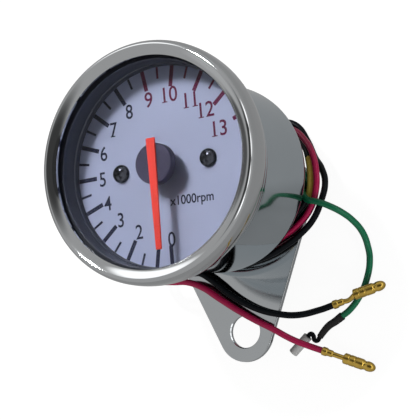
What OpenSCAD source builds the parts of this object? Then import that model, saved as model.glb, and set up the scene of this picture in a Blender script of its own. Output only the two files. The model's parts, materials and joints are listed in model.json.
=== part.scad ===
// Round motorcycle tachometer in a chromed cup, lying on its back, dial up.
// The cup is bolted to a flat triangular bracket and its leads lie beside it.
// X runs to the dial's 3 o'clock, Y to its 12 o'clock, Z out of the dial.
// The origin is on the table, under the middle of the object without its leads.

/* [Bezel and glass] */
// Outside diameter of the bezel ring
bezel_d = 64.4; // [54:0.1:80]
// Radial width of the bezel's front rim
rim_w = 4.05; // [3:0.05:6]
// Height of the bezel's ridge above the dial
bezel_h = 10.75; // [10.2:0.05:16]
// Drop from the ridge to the rim's inner lip
lip_drop = 1.3; // [0.6:0.1:1.6]
// Distance from the ridge inwards from the bezel's side
ridge_in = 1.55; // [1:0.05:2.5]
// Height of the bezel's rounded shoulder
shoulder_h = 2.85; // [1.5:0.05:5]
// Wall of the bezel ring
bezel_wall = 0.8; // [0.6:0.1:1.2]
// Thickness of the glass
lens_t = 1.8; // [1.4:0.1:2.4]
// Thickness of the gasket under the glass
gasket_t = 0.8; // [0.5:0.1:1.2]

/* [Dial and pointer] */
// Thickness of the dial plate
dial_t = 0.8; // [0.5:0.1:1.5]
// Distance from the dial's centre to each dial screw
screw_x = 13.35; // [12.5:0.05:15]
// Diameter of a dial screw's head
screw_head_d = 4.9; // [4:0.1:5.5]
// Diameter of the pointer's cap
cap_d = 10.9; // [8:0.1:14]
// Height of the cap's top above the dial
cap_top = 6; // [4.8:0.1:6]
// Thickness of the cap's disc
cap_t = 2.9; // [2:0.1:4]
// Pointer from the axis to its tip
pointer_tip = 22.8; // [18:0.1:24]
// Pointer from the axis to its tail
pointer_tail = 6.7; // [5:0.1:9]
// Pointer's width at the tail
pointer_w = 2.6; // [2:0.1:3.2]
// Pointer's width at the tip
pointer_tip_w = 1.65; // [1:0.05:2]
// Thickness of the pointer
pointer_t = 0.6; // [0.4:0.1:0.7]

/* [Cup] */
// How far the cup's wall lies inside the bezel's side
cup_step = 6.2; // [5:0.1:7.5]
// Depth of the cup's back below the dial
cup_depth = 33.2; // [32:0.1:45]
// Wall of the cup
cup_wall = 0.8; // [0.6:0.1:1.2]
// Radius of the cup's rounded back edge
cup_fillet = 3.9; // [2:0.1:5]

/* [Bracket and its fastenings] */
// Thickness of the bracket plate
bracket_t = 1.5; // [1.2:0.1:3]
// Distance from the gauge axis to the bracket's hole
hole_reach = 42; // [40:0.5:55]
// Diameter of the bracket's hole
hole_d = 9; // [7:0.5:10.5]
// Radius of the bracket's tip
tip_r = 8.4; // [7.5:0.1:11]
// Distance from the gauge axis to each stud, sideways
stud_x = 12.5; // [11:0.5:15]
// Distance from the gauge axis to each stud, towards the bracket's tip
stud_y = 8; // [6:0.5:9]
// Diameter of a stud
stud_d = 5; // [4:0.5:5]
// Thickness of the rubber washers between the cup and the bracket
rubber_t = 3.4; // [3.4:0.1:6]
// Height of a nut
nut_h = 4; // [3.2:0.1:5]

/* [Leads] */
// Diameter of a lead
lead_d = 1.8; // [1.5:0.1:1.8]
// Diameter of a bullet plug's barrel
bullet_d = 3; // [2.6:0.1:3.2]
// Length of a bullet plug's barrel
bullet_l = 9.2; // [7:0.1:10]

/* [Hidden] */

$fn = 96;
gap = 0.05;          // clearance of a hand fit
loose = 0.15;        // clearance of a loose fit
bezel_r = bezel_d / 2;
lip_r = bezel_r - rim_w;
ridge_r = bezel_r - ridge_in;
inner_r = bezel_r - bezel_wall;
crimp_w = 2.4;       // width of the bezel's edge rolled under the cup's flange
roll_in = 2;         // how far the bezel's side rounds in towards that edge
gasket_in = 0.7;     // how far the gasket shows inside the bezel's lip

// heights above the dial, from the bezel's underside down to the rolled edge
seat_z = bezel_h - lip_drop - 0.8;
lens_z = seat_z - gap - lens_t;
gasket_z = lens_z - gasket_t;
shroud_flange_t = 1;
shroud_z = gasket_z - shroud_flange_t;
seal_t = 1.9;
flange_z = shroud_z - seal_t - cup_wall;
crimp_z = flange_z - bezel_wall;
roll_h = bezel_h - shoulder_h - crimp_z - 0.9;   // height of the side's lower rounding

cup_r = bezel_r - cup_step;
mouth_r = bezel_r - crimp_w - 0.2;
mouth_in = mouth_r - cup_wall;
flare_z = -2.7;      // where the mouth starts to narrow
flare_h = mouth_r - cup_r;
flange_r = inner_r - 0.8 - gap;
stack_r = inner_r - 0.3;
seal_r = stack_r - 0.2;
back_z = -cup_depth;

dial_r = mouth_in - 0.4;
shroud_foot_r = dial_r - 1.65;
shroud_wall = 1.1;
shroud_top_r = lip_r - loose;

shaft_r = 0.75;
pcb_t = 1.6;
pcb_z = -22;         // top of the circuit board
pcb_r = cup_r - cup_wall - 1.7;
post_r = 2.2;
can_r = 9.8;
thread_r = 1;

// heights of the bracket's stack, from the cup's back down to the table
flat_t = 1;
spring_t = 1.2;
stud_end = 1;
stud_r = stud_d / 2;
plate_top_z = back_z - rubber_t;
plate_z = plate_top_z - bracket_t;
washer_z = plate_z - flat_t;
spring_z = washer_z - spring_t;
nut_z = spring_z - nut_h;
table_z = nut_z - stud_end;
nut_flats = stud_d * 1.6;

corner_x = 15.2;     // centre of the bracket's upper corner
corner_y = 5;
corner_r = 9.2;

boot_y = 13;         // cable boot from the gauge axis, towards 12 o'clock
boot_r = 5.5;
boot_neck_r = 3.5;
outlet_x = 9;
outlet_w = 6.4;
outlet_h = 4.5;
outlet_shift = 0.95; // the outlet's middle lies this far past the boot's

// the gauge's dial centre in the part's frame
gauge_y = (hole_reach + tip_r - bezel_r) / 2;
dial_z = -table_z;

function arc(c, rx, ry, a0, a1, n = 10) =
    [for (i = [0:n]) let (a = a0 + (a1 - a0) * i / n) c + [rx * cos(a), ry * sin(a)]];
function unit(v) = v / norm(v);

module at_gauge() {
    translate([0, gauge_y, dial_z]) children();
}

module ring(r_in, r_out, z, h) {
    translate([0, 0, z]) difference() {
        cylinder(r = r_out, h = h);
        translate([0, 0, -1]) cylinder(r = r_in, h = h + 2);
    }
}

module pair(x, y = 0) {
    for (s = [-1, 1]) translate([s * x, y, 0]) children();
}

// Bezel, glass and seals

module bezel_ring() {
    crown = concat(
        arc([ridge_r, bezel_h - shoulder_h], ridge_in, shoulder_h, 0, 90),
        arc([ridge_r, bezel_h - lip_drop], ridge_r - lip_r, lip_drop, 100, 180, 8));
    roll = arc([bezel_r - roll_in, crimp_z + roll_h], roll_in, roll_h, -90, 0);
    rolled_r = inner_r - crimp_w + bezel_wall;
    inside = [[lip_r, seat_z], [inner_r, seat_z], [inner_r, shroud_z],
        [inner_r - 0.4, flange_z + cup_wall], [inner_r - 0.8, flange_z],
        [rolled_r, flange_z], [rolled_r, crimp_z]];
    at_gauge() color("silver") rotate_extrude() polygon(concat(roll, crown, inside));
}

module lens() {
    at_gauge() color([0.85, 0.9, 0.95, 0.3]) translate([0, 0, lens_z])
        cylinder(r = stack_r, h = lens_t);
}

module lens_gasket() {
    at_gauge() color([0.1, 0.1, 0.12]) ring(lip_r - gasket_in, stack_r, gasket_z, gasket_t);
}

module reflector_shroud() {
    at_gauge() color([0.13, 0.14, 0.2]) rotate_extrude() polygon([
        [shroud_foot_r, 0], [shroud_foot_r + shroud_wall, 0],
        [shroud_top_r + shroud_wall * 0.4, shroud_z], [stack_r, shroud_z],
        [stack_r, gasket_z], [shroud_top_r, gasket_z]]);
}

module case_seal() {
    at_gauge() color([0.1, 0.1, 0.12]) ring(mouth_in + 0.4, seal_r, shroud_z - seal_t, seal_t);
}

module cup_outline(t) {
    // half section of the cup's outside, drawn in by a wall of thickness t
    r = cup_r - t;
    m = mouth_r - t;
    k = t * tan(22.5);
    polygon(concat([[0, back_z + t]],
        arc([cup_r - cup_fillet, back_z + cup_fillet], cup_fillet - t, cup_fillet - t, -90, 0),
        [[r, flare_z - flare_h + k], [m, flare_z + k], [m, flange_z + 5], [0, flange_z + 5]]));
}

module cup() {
    at_gauge() color("silver") difference() {
        union() {
            rotate_extrude() difference() {
                cup_outline(0);
                cup_outline(cup_wall);
                translate([0, flange_z + cup_wall]) square([bezel_d, 10]);
            }
            ring(mouth_in, flange_r, flange_z, cup_wall);
        }
        pair(stud_x, -stud_y) translate([0, 0, back_z - 1])
            cylinder(r = stud_r + loose, h = cup_wall + 2);
        translate([0, boot_y, back_z - 1]) cylinder(r = boot_neck_r + 0.1, h = cup_wall + 2);
    }
}

// Dial, its screws and what holds them

module dial_plate() {
    at_gauge() color([0.86, 0.87, 0.95]) difference() {
        translate([0, 0, -dial_t]) cylinder(r = dial_r, h = dial_t);
        translate([0, 0, -dial_t - 1]) cylinder(r = 2.2, h = dial_t + 2);
        pair(screw_x) translate([0, 0, -dial_t - 1]) cylinder(r = thread_r + 0.3, h = dial_t + 2);
    }
}

module pan_screw(head_r, head_h, shank) {
    // a cross-slotted pan screw, its head's underside at z = 0, its shank below
    difference() {
        rotate_extrude() polygon(concat([[0, 0]],
            arc([0, 0], head_r, head_h, 0, 90, 8)));
        for (a = [0, 90]) rotate([0, 0, a + 20])
            translate([-head_r * 0.55, -0.3, head_h * 0.45]) cube([head_r * 1.1, 0.6, head_h]);
    }
    translate([0, 0, -shank]) cylinder(r = thread_r, h = shank);
}

module dial_screws() {
    at_gauge() color([0.08, 0.08, 0.09]) pair(screw_x) pan_screw(screw_head_d / 2, 1.7, 5.5);
}

module light_housing() {
    wall = 1.4;
    outer = [[dial_r, -dial_t], [dial_r, flare_z + 0.1],
        [cup_r - cup_wall - 0.3, flare_z + 0.1 - (dial_r - cup_r + cup_wall + 0.3)],
        [cup_r - cup_wall - 0.3, -13]];
    inner = [[cup_r - cup_wall - 0.3 - wall, -13],
        [cup_r - cup_wall - 0.3 - wall, flare_z - (dial_r - cup_r)],
        [dial_r - 2.2, flare_z], [dial_r - 2.2, -dial_t]];
    at_gauge() color([0.93, 0.93, 0.9]) rotate_extrude() polygon(concat(outer, inner));
}

module dial_posts() {
    top = -dial_t;
    at_gauge() color("gold") pair(screw_x) difference() {
        translate([0, 0, pcb_z]) cylinder(r = post_r, h = top - pcb_z);
        translate([0, 0, top - 6]) cylinder(r = thread_r + 0.02, h = 7);
        translate([0, 0, pcb_z - 1]) cylinder(r = thread_r + 0.02, h = 7);
    }
}

// Pointer, shaft and rotor, which turn together

module pointer() {
    at_gauge() color([0.95, 0.3, 0.22]) translate([0, 0, cap_top]) linear_extrude(pointer_t)
        polygon([[-pointer_w / 2, pointer_tail], [-pointer_tip_w / 2, -pointer_tip],
            [pointer_tip_w / 2, -pointer_tip], [pointer_w / 2, pointer_tail]]);
}

module pointer_cap() {
    at_gauge() color([0.24, 0.24, 0.3]) difference() {
        union() {
            translate([0, 0, cap_top - cap_t]) cylinder(r = cap_d / 2, h = cap_t);
            translate([0, 0, 1]) cylinder(r = 1.7, h = cap_top - cap_t);
        }
        translate([0, 0, -1]) cylinder(r = shaft_r, h = cap_top - 0.8 + 1);
    }
}

rotor_z = -14;
rotor_h = 5;
bobbin_half = 5.4;
bobbin_top = -5.5;
bobbin_bottom = -17.5;
cavity_r = 4.3;
shaft_bottom = bobbin_bottom + 1.2;

module pointer_shaft() {
    at_gauge() color("silver") translate([0, 0, shaft_bottom])
        cylinder(r = shaft_r, h = cap_top - 0.8 - shaft_bottom);
}

module rotor_magnet() {
    at_gauge() color([0.3, 0.3, 0.32]) ring(shaft_r, cavity_r - 0.5, rotor_z, rotor_h);
}

// Air-core movement

module bobbin(z0, z1, cavity_z, cavity_h) {
    difference() {
        translate([-bobbin_half, -bobbin_half, z0])
            cube([2 * bobbin_half, 2 * bobbin_half, z1 - z0]);
        translate([0, 0, cavity_z]) cylinder(r = cavity_r, h = cavity_h);
    }
}

module bobbin_upper() {
    mid = (bobbin_top + bobbin_bottom) / 2;
    at_gauge() color([0.9, 0.88, 0.8]) difference() {
        union() {
            bobbin(mid, bobbin_top, mid - 1, rotor_z + rotor_h + 0.6 - mid + 1);
            translate([0, 0, bobbin_top - 1]) cylinder(r = 2.4, h = 3.6);
        }
        translate([0, 0, bobbin_top - 2.5]) cylinder(r = 1.8, h = 6);
        translate([0, 0, bobbin_top - 5]) cylinder(r = 1.1, h = 6);
    }
}

module bobbin_lower() {
    mid = (bobbin_top + bobbin_bottom) / 2;
    at_gauge() color([0.9, 0.88, 0.8]) difference() {
        bobbin(bobbin_bottom, mid, rotor_z - 0.6, mid - rotor_z + 1.6);
        translate([0, 0, bobbin_bottom + 0.5]) cylinder(r = 1.8, h = 3);
    }
}

module upper_bearing() {
    at_gauge() color("gold") ring(shaft_r + gap, 1.78, bobbin_top - 2.5, 3.4);
}

module lower_bearing() {
    at_gauge() color("gold") difference() {
        translate([0, 0, bobbin_bottom + 0.5]) cylinder(r = 1.78, h = 2.4);
        translate([0, 0, shaft_bottom - 0.02]) cylinder(r = shaft_r + gap, h = 3);
    }
}

module coil(z_in0, z_in1, wire) {
    // a rectangular winding round the bobbin, open at the shaft
    half = bobbin_half + 0.1;
    difference() {
        translate([-half - wire, -3, z_in0 - wire])
            cube([2 * (half + wire), 6, z_in1 - z_in0 + 2 * wire]);
        translate([-half, -4, z_in0]) cube([2 * half, 8, z_in1 - z_in0]);
        translate([0, 0, z_in1 - 1]) cylinder(r = 2.5, h = 4);
    }
}

module coil_inner() {
    at_gauge() color([0.72, 0.4, 0.2]) coil(bobbin_bottom - 0.1, bobbin_top + 0.1, 1.1);
}

module coil_outer() {
    at_gauge() color([0.66, 0.34, 0.18]) rotate([0, 0, 90])
        coil(bobbin_bottom - 1.3, bobbin_top + 1.3, 1.1);
}

module shield_can() {
    base = pcb_z + 1.4;
    at_gauge() color([0.75, 0.76, 0.78]) difference() {
        translate([0, 0, base]) cylinder(r = can_r, h = -2.4 - base);
        translate([0, 0, base + 0.5]) cylinder(r = can_r - 0.5, h = 30);
    }
}

module movement_base() {
    at_gauge() color([0.1, 0.1, 0.11]) translate([0, 0, pcb_z]) cylinder(r = can_r + 0.6, h = 1.4);
}

// Circuit board and what is on it

module circuit_board() {
    at_gauge() color([0.05, 0.35, 0.2]) difference() {
        translate([0, 0, pcb_z - pcb_t]) cylinder(r = pcb_r, h = pcb_t);
        pair(screw_x) translate([0, 0, pcb_z - pcb_t - 1])
            cylinder(r = thread_r + 0.3, h = pcb_t + 2);
    }
}

module under_board(x, y) {
    at_gauge() translate([x, y, pcb_z - pcb_t]) mirror([0, 0, 1]) children();
}

module driver_chip() {
    color([0.08, 0.08, 0.08]) under_board(0, -1) {
        translate([-5, -2, 0.2]) cube([10, 4, 1.5]);
        for (i = [0:6], s = [-1, 1])
            translate([-4.6 + i * 1.4, s * 2.5 - 0.6, 0]) cube([0.5, 1.2, 0.9]);
    }
}

module capacitors() {
    color([0.1, 0.15, 0.35]) {
        under_board(-8, -14) cylinder(r = 3, h = 6);
        under_board(0, -15) cylinder(r = 2.4, h = 5);
        under_board(-16, -7) cylinder(r = 2.4, h = 5);
    }
}

module trimmer() {
    color([0.1, 0.3, 0.7]) difference() {
        under_board(9, -13) {
            translate([-3.4, -3.4, 0]) cube([6.8, 6.8, 2]);
            cylinder(r = 2.6, h = 3);
        }
        under_board(9, -13) translate([-2, -0.4, 2.3]) cube([4, 0.8, 2]);
    }
}

module resistors() {
    color([0.75, 0.65, 0.45]) for (i = [0:3])
        under_board(-15 + i * 2.6, 8) translate([-0.8, -3, 0]) cube([1.6, 6, 1.6]);
}

module backlight_lamps() {
    at_gauge() color([0.95, 0.95, 0.85]) for (i = [0:5]) rotate([0, 0, 30 + 60 * i])
        translate([18.5, 0, pcb_z]) {
            cylinder(r = 1.9, h = 1);
            cylinder(r = 1.5, h = 3.5);
            translate([0, 0, 3.5]) sphere(r = 1.5, $fn = 32);
        }
}

module board_screws() {
    color([0.7, 0.7, 0.72]) at_gauge() pair(screw_x)
        translate([0, 0, pcb_z - pcb_t]) mirror([0, 0, 1]) pan_screw(2, 1.2, 5.5);
}

module board_leads() {
    z = back_z + cup_wall + 1.4;
    at_gauge() color([0.15, 0.15, 0.17]) for (a = [45:90:315])
        translate([2.2 * cos(a), boot_y + 2.2 * sin(a), z])
            cylinder(r = lead_d / 2, h = pcb_z - pcb_t - z);
}

// Studs, bracket and cable boot

module mounting_studs() {
    at_gauge() color("silver") pair(stud_x, -stud_y) {
        translate([0, 0, back_z + cup_wall]) cylinder(r = 4, h = 2);
        translate([0, 0, table_z]) cylinder(r = stud_r, h = back_z + cup_wall - table_z);
    }
}

module rubber_washers() {
    at_gauge() color([0.1, 0.1, 0.11]) pair(stud_x, -stud_y)
        ring(stud_r + 0.2, stud_d, plate_top_z, rubber_t);
}

module bracket_outline() {
    // three round ends joined by their common tangents
    tip = [0, -hole_reach];
    corner = [corner_x, -corner_y];
    reach = norm(corner - tip);
    lean = atan2(corner.y - tip.y, corner.x - tip.x) - acos((tip_r - corner_r) / reach);
    out = [cos(lean), sin(lean)];
    flip = [-1, 1];
    function mirrored(p) = [p.x * flip.x, p.y];
    a = tip + tip_r * out;
    b = corner + corner_r * out;
    translate(tip) circle(r = tip_r);
    pair(corner_x, -corner_y) circle(r = corner_r);
    polygon([a, b, corner + [0, corner_r], mirrored(corner + [0, corner_r]), mirrored(b),
        mirrored(a)]);
}

module bracket() {
    at_gauge() color("silver") difference() {
        translate([0, 0, plate_z]) linear_extrude(bracket_t) bracket_outline();
        pair(stud_x, -stud_y) translate([0, 0, plate_z - 1])
            cylinder(r = stud_r + 0.25, h = bracket_t + 2);
        translate([0, -hole_reach, plate_z - 1]) cylinder(r = hole_d / 2, h = bracket_t + 2);
    }
}

module flat_washers() {
    at_gauge() color("silver") pair(stud_x, -stud_y)
        ring(stud_r + loose, stud_d, washer_z, flat_t);
}

module spring_washers() {
    at_gauge() color("silver") pair(stud_x, -stud_y) difference() {
        ring(stud_r + 0.1, stud_r + 1.9, spring_z, spring_t);
        rotate([0, 0, 200]) translate([0, 0, spring_z + spring_t / 2]) rotate([20, 0, 0])
            translate([0, -0.25, -3]) cube([6, 0.5, 6]);
    }
}

module nuts() {
    at_gauge() color("silver") pair(stud_x, -stud_y) difference() {
        translate([0, 0, nut_z])
            rotate([0, 0, 30]) cylinder(r = nut_flats / sqrt(3), h = nut_h, $fn = 6);
        translate([0, 0, nut_z - 1]) cylinder(r = stud_r + 0.02, h = nut_h + 2);
    }
}

module cable_boot() {
    at_gauge() color([0.1, 0.1, 0.11]) translate([0, boot_y, 0]) {
        translate([0, 0, back_z + cup_wall]) cylinder(r = boot_neck_r + 1.3, h = 1.4);
        translate([0, 0, back_z - 1]) cylinder(r = boot_neck_r, h = cup_wall + 2);
        translate([0, 0, table_z]) cylinder(r = boot_r, h = back_z - table_z);
        translate([0, outlet_shift - outlet_w / 2, table_z])
            cube([outlet_x, outlet_w, outlet_h]);
    }
}

// Leads: the middle of each, point by point, in the part's frame

red_route = [[9, 23.05, 3.3], [12.9, 23.05, 3.3], [18.2, 21.4, 4.7], [22.6, 17.5, 6.9],
    [25.7, 13, 9.3], [26.8, 8, 10.2], [26.3, 2.6, 10.3], [23.8, -2.5, 9.9], [19.4, -6.3, 9.7],
    [14.4, -8.8, 9.7], [9.5, -10.5, 9.7], [4.1, -11.6, 9.7], [-1.3, -11.9, 9.7],
    [-6.6, -10.9, 9.7], [-11.5, -8.7, 9.7], [-15.9, -5.5, 9.8], [-20, -2.4, 10],
    [-24.6, -1, 10.4], [-28.8, -3.2, 10.9], [-30.3, -7.8, 11.4], [-28.8, -12.5, 11.8],
    [-24.8, -15.6, 12.1], [-19.8, -16.7, 12.3], [-15, -17.4, 12.3], [-10.6, -19.4, 12],
    [-6.1, -22.9, 11.4], [-1.3, -26.6, 10.8], [3.8, -30.1, 10.3], [9.2, -33.4, 9.9],
    [13.6, -36.6, 8], [17.7, -38.9, 6.1], [21.3, -40.6, 5.2]];
black_route = [[9, 24.95, 1.4], [13.2, 24.95, 1.4], [17.9, 23.1, 1.4], [20.9, 18.2, 1.5],
    [23.4, 13, 3], [26.5, 8.9, 5.8], [28.2, 4.2, 8.2], [27.2, -0.6, 9.6], [24.6, -5, 9.7],
    [20.6, -8.4, 9.7], [15.9, -10.9, 9.7], [11, -12.8, 9.7], [5.8, -13.9, 9.7],
    [0.4, -14.3, 9.7], [-4.9, -13.6, 9.7], [-9.9, -11.9, 9.7], [-14.6, -9.2, 9.7],
    [-19, -6.5, 9.9], [-23.2, -5.2, 10.3], [-26.5, -6.5, 10.7], [-27.8, -9.5, 11],
    [-26.4, -12.5, 11.3], [-22.4, -13.8, 11.5], [-16.9, -14.1, 11.7], [-11.4, -15.2, 11.6],
    [-7.4, -18.1, 11.2], [-3.5, -21.7, 10.8], [0.8, -24.9, 10.4], [5.6, -27.6, 10.1],
    [10.7, -29.4, 9.9], [16.2, -30.4, 8.5], [21.8, -29.6, 5.8], [25.6, -28.7, 4.9]];
green_route = [[9, 21.15, 3.3], [12.8, 21.15, 3.3], [17.3, 18.9, 6], [20.1, 14.6, 9.3],
    [21.2, 9.4, 10], [21.8, 4.8, 10.4], [23.9, 0.3, 12], [28, -1.4, 12.8], [30.8, -2.9, 12],
    [33.3, -4.8, 9.9], [34.9, -6.9, 7.2], [36, -10, 4], [36.1, -13.7, 1.6],
    [36, -17.2, 0.95], [34.6, -22.3, 0.95], [31.8, -27, 1], [28.5, -30.3, 1.2],
    [26.4, -31.5, 1.3]];
striped_route = [[9, 21.15, 1.4], [12.8, 21.15, 1.4], [17.7, 19.8, 2.8], [21.7, 16.1, 5.7],
    [24.2, 11.5, 8.9], [24.7, 6.4, 9.8], [23.5, 1.3, 9.7], [20.4, -2.3, 9.8],
    [16.4, -5, 9.9], [11.8, -6.3, 10.4], [7.5, -6.2, 10.4]];

// the green lead's end: a shrunk sleeve, a short bare tail and a clear sleeve
sleeve_d = 2.6;
sleeve_route = [[26.4, -31.5, 1.3], [24.3, -32.7, 1.4], [22.1, -33.7, 1.4], [20.4, -35, 1.3],
    [19, -36.4, 1.3]];
tail_d = 1.3;
tail_route = [[19, -36.4, 1.3], [18.1, -37.3, 1.3], [17.2, -36.9, 1.2], [17, -35.9, 1.1],
    [16.4, -35.2, 1.2], [15.4, -35.8, 1.3], [14.4, -36.6, 1.3]];
clear_from = [15.4, -35.8, 1.3];
clear_to = [10.4, -39.8, 1.3];

// the black lead's plug is bent where its barrel starts
bent_from = [31.6, -26.6, 3.9];
bent_to = [40.2, -24.6, 1.8];

module tube(route, d, sides = 8) {
    // one closed tube along the route's points, square to it at both ends
    n = len(route);
    function along(i) = unit(route[min(i + 1, n - 1)] - route[max(i - 1, 0)]);
    function side(i) = unit(cross(along(i), [0, 0, 1]));
    function up(i) = cross(side(i), along(i));
    rings = [for (i = [0:n - 1], k = [0:sides - 1]) let (a = 360 * (k + 0.5) / sides)
        route[i] + d / 2 * (cos(a) * side(i) + sin(a) * up(i))];
    walls = [for (i = [0:n - 2], k = [0:sides - 1]) let (
        a = i * sides + k, b = i * sides + (k + 1) % sides)
        each [[a, a + sides, b + sides], [a, b + sides, b]]];
    end = (n - 1) * sides;
    first = [for (k = [1:sides - 2]) [0, k, k + 1]];
    last = [for (k = [1:sides - 2]) [end, end + k + 1, end + k]];
    polyhedron(points = rings, faces = concat(walls, first, last));
}

module turned_to(v) {
    rotate([0, acos(v.z / norm(v)), atan2(v.y, v.x)]) children();
}

crimp_l = 3.2;
crimp_r = lead_d / 2 + 0.3;
neck_l = bullet_l / 3;
neck_r = 0.7;

function barrel_outline(z) = let (r = bullet_d / 2, edge = 0.25, groove = bullet_l * 0.68)
    // a bullet plug's barrel, with its catch groove and its rounded nose
    concat([[r - edge, z], [r, z + edge], [r, z + groove], [r - edge, z + groove + edge],
            [r - edge, z + groove + 0.9], [r, z + groove + 1.15]],
        arc([0, z + bullet_l - 1.2], r, 1.2, 0, 90, 8));

function last_point(route) = route[len(route) - 1];
function way_out(route) = unit(last_point(route) - route[len(route) - 2]);

module straight_bullet(route) {
    back = crimp_l + neck_l;
    color("gold") translate(last_point(route)) turned_to(way_out(route))
        rotate_extrude() polygon(concat([[0, 0], [crimp_r, 0], [crimp_r, crimp_l],
            [neck_r, crimp_l], [neck_r, back]], barrel_outline(back)));
}

module bent_bullet(route, from, to) {
    neck = last_point(route) + crimp_l * way_out(route);
    color("gold") {
        translate(last_point(route)) turned_to(way_out(route))
            cylinder(r = crimp_r, h = crimp_l);
        translate(neck) sphere(r = neck_r + 0.2);
        translate(neck) turned_to(from - neck) cylinder(r = neck_r, h = norm(from - neck) + 0.3);
        translate(from) turned_to(to - from)
            rotate_extrude() polygon(concat([[0, 0]], barrel_outline(0)));
    }
}

module lead_red() { color([0.6, 0.08, 0.16]) tube(red_route, lead_d); }
module lead_black() { color([0.08, 0.08, 0.1]) tube(black_route, lead_d); }
module lead_green() { color([0.05, 0.42, 0.22]) tube(green_route, lead_d); }
module lead_striped() { color([0.1, 0.1, 0.08]) tube(striped_route, lead_d); }
module bullet_red() { straight_bullet(red_route); }
module bullet_black() { bent_bullet(black_route, bent_from, bent_to); }
module bullet_striped() { straight_bullet(striped_route); }
module green_sleeve() { color([0.06, 0.08, 0.09]) tube(sleeve_route, sleeve_d); }
module green_tail() { color([0.05, 0.06, 0.07]) tube(tail_route, tail_d); }

module tail_sleeve() {
    along = clear_to - clear_from;
    color([0.85, 0.86, 0.84, 0.6]) difference() {
        translate(clear_from) turned_to(along) cylinder(r = sleeve_d / 2, h = norm(along));
        translate(clear_from - unit(along)) turned_to(along)
            cylinder(r = tail_d / 2 + gap, h = norm(along) + 2);
    }
}

bezel_ring();
lens();
lens_gasket();
reflector_shroud();
case_seal();
cup();
dial_plate();
dial_screws();
light_housing();
dial_posts();
pointer();
pointer_cap();
pointer_shaft();
rotor_magnet();
bobbin_upper();
bobbin_lower();
upper_bearing();
lower_bearing();
coil_inner();
coil_outer();
shield_can();
movement_base();
circuit_board();
driver_chip();
capacitors();
trimmer();
resistors();
backlight_lamps();
board_screws();
board_leads();
mounting_studs();
rubber_washers();
bracket();
flat_washers();
spring_washers();
nuts();
cable_boot();
lead_red();
lead_black();
lead_green();
lead_striped();
bullet_red();
bullet_black();
bullet_striped();
green_sleeve();
green_tail();
tail_sleeve();
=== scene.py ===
import json
import math
import bpy
import bmesh
from mathutils import Matrix, Vector
from mathutils.geometry import convex_hull_2d


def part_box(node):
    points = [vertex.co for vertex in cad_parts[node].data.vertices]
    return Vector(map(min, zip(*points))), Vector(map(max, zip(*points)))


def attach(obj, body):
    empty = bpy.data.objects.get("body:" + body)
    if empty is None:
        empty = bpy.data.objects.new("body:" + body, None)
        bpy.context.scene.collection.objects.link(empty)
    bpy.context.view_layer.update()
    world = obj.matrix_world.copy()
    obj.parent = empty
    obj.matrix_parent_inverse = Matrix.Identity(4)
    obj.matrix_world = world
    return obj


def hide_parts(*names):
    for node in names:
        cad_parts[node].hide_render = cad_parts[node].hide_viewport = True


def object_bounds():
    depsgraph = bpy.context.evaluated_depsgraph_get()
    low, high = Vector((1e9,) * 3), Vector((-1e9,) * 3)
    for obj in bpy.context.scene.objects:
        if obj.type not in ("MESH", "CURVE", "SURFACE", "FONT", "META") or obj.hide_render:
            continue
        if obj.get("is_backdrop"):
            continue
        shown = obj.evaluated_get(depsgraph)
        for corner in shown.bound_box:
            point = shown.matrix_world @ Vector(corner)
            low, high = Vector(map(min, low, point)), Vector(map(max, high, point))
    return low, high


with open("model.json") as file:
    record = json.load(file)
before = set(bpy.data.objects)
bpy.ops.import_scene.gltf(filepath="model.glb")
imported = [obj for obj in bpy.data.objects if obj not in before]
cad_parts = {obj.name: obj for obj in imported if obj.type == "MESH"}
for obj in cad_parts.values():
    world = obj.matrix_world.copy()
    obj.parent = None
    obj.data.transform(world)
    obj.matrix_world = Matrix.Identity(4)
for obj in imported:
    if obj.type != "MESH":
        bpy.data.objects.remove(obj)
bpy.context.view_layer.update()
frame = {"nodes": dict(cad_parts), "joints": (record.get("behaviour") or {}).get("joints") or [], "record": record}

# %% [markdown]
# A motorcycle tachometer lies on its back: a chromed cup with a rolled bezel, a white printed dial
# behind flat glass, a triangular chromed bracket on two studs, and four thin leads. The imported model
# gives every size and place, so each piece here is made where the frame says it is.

MM = 0.001
GAUGE = Vector(frame["joints"][0]["pos_m"])     # dial's centre, on the dial's face


def add_object(name, data):
    """A new object in the scene, at the origin."""
    piece = bpy.data.objects.new(name, data)
    bpy.context.scene.collection.objects.link(piece)
    return piece


def radius(node):
    """Half the width of a round node, in millimetres."""
    low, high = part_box(node)
    return (high.x - low.x) / 2 / MM


def heights(node):
    """Lowest and highest point of a node over the dial's face, in millimetres."""
    low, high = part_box(node)
    return (low.z - GAUGE.z) / MM, (high.z - GAUGE.z) / MM


print("bezel radius", round(radius("bezel_ring"), 2), "from", heights("bezel_ring"))

# %% [markdown]
# The camera comes first. It was solved from the photograph's ellipses, so it is written as a place
# and two directions, right and up. A long lens keeps the dial's ellipse as flat as it is there.

# %% Camera
CAMERA_PLACE = Vector((258.77, -89.58, 493.52)) * MM
CAMERA_RIGHT = Vector((0.86652, -0.08285, -0.49222))
CAMERA_UP = Vector((0.15233, 0.98298, 0.10270))
FOCAL_PIXELS, FRAME_PIXELS = 2000, 420

camera = add_object("camera", bpy.data.cameras.new("camera"))
camera.data.sensor_width = 36
camera.data.lens = FOCAL_PIXELS * camera.data.sensor_width / FRAME_PIXELS
camera.data.clip_start = 0.02
turn = Matrix((CAMERA_RIGHT, CAMERA_UP, CAMERA_RIGHT.cross(CAMERA_UP))).transposed()
camera.matrix_world = Matrix.Translation(CAMERA_PLACE) @ turn.to_4x4()
bpy.context.scene.camera = camera
print("lens mm", round(camera.data.lens, 2))
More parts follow.
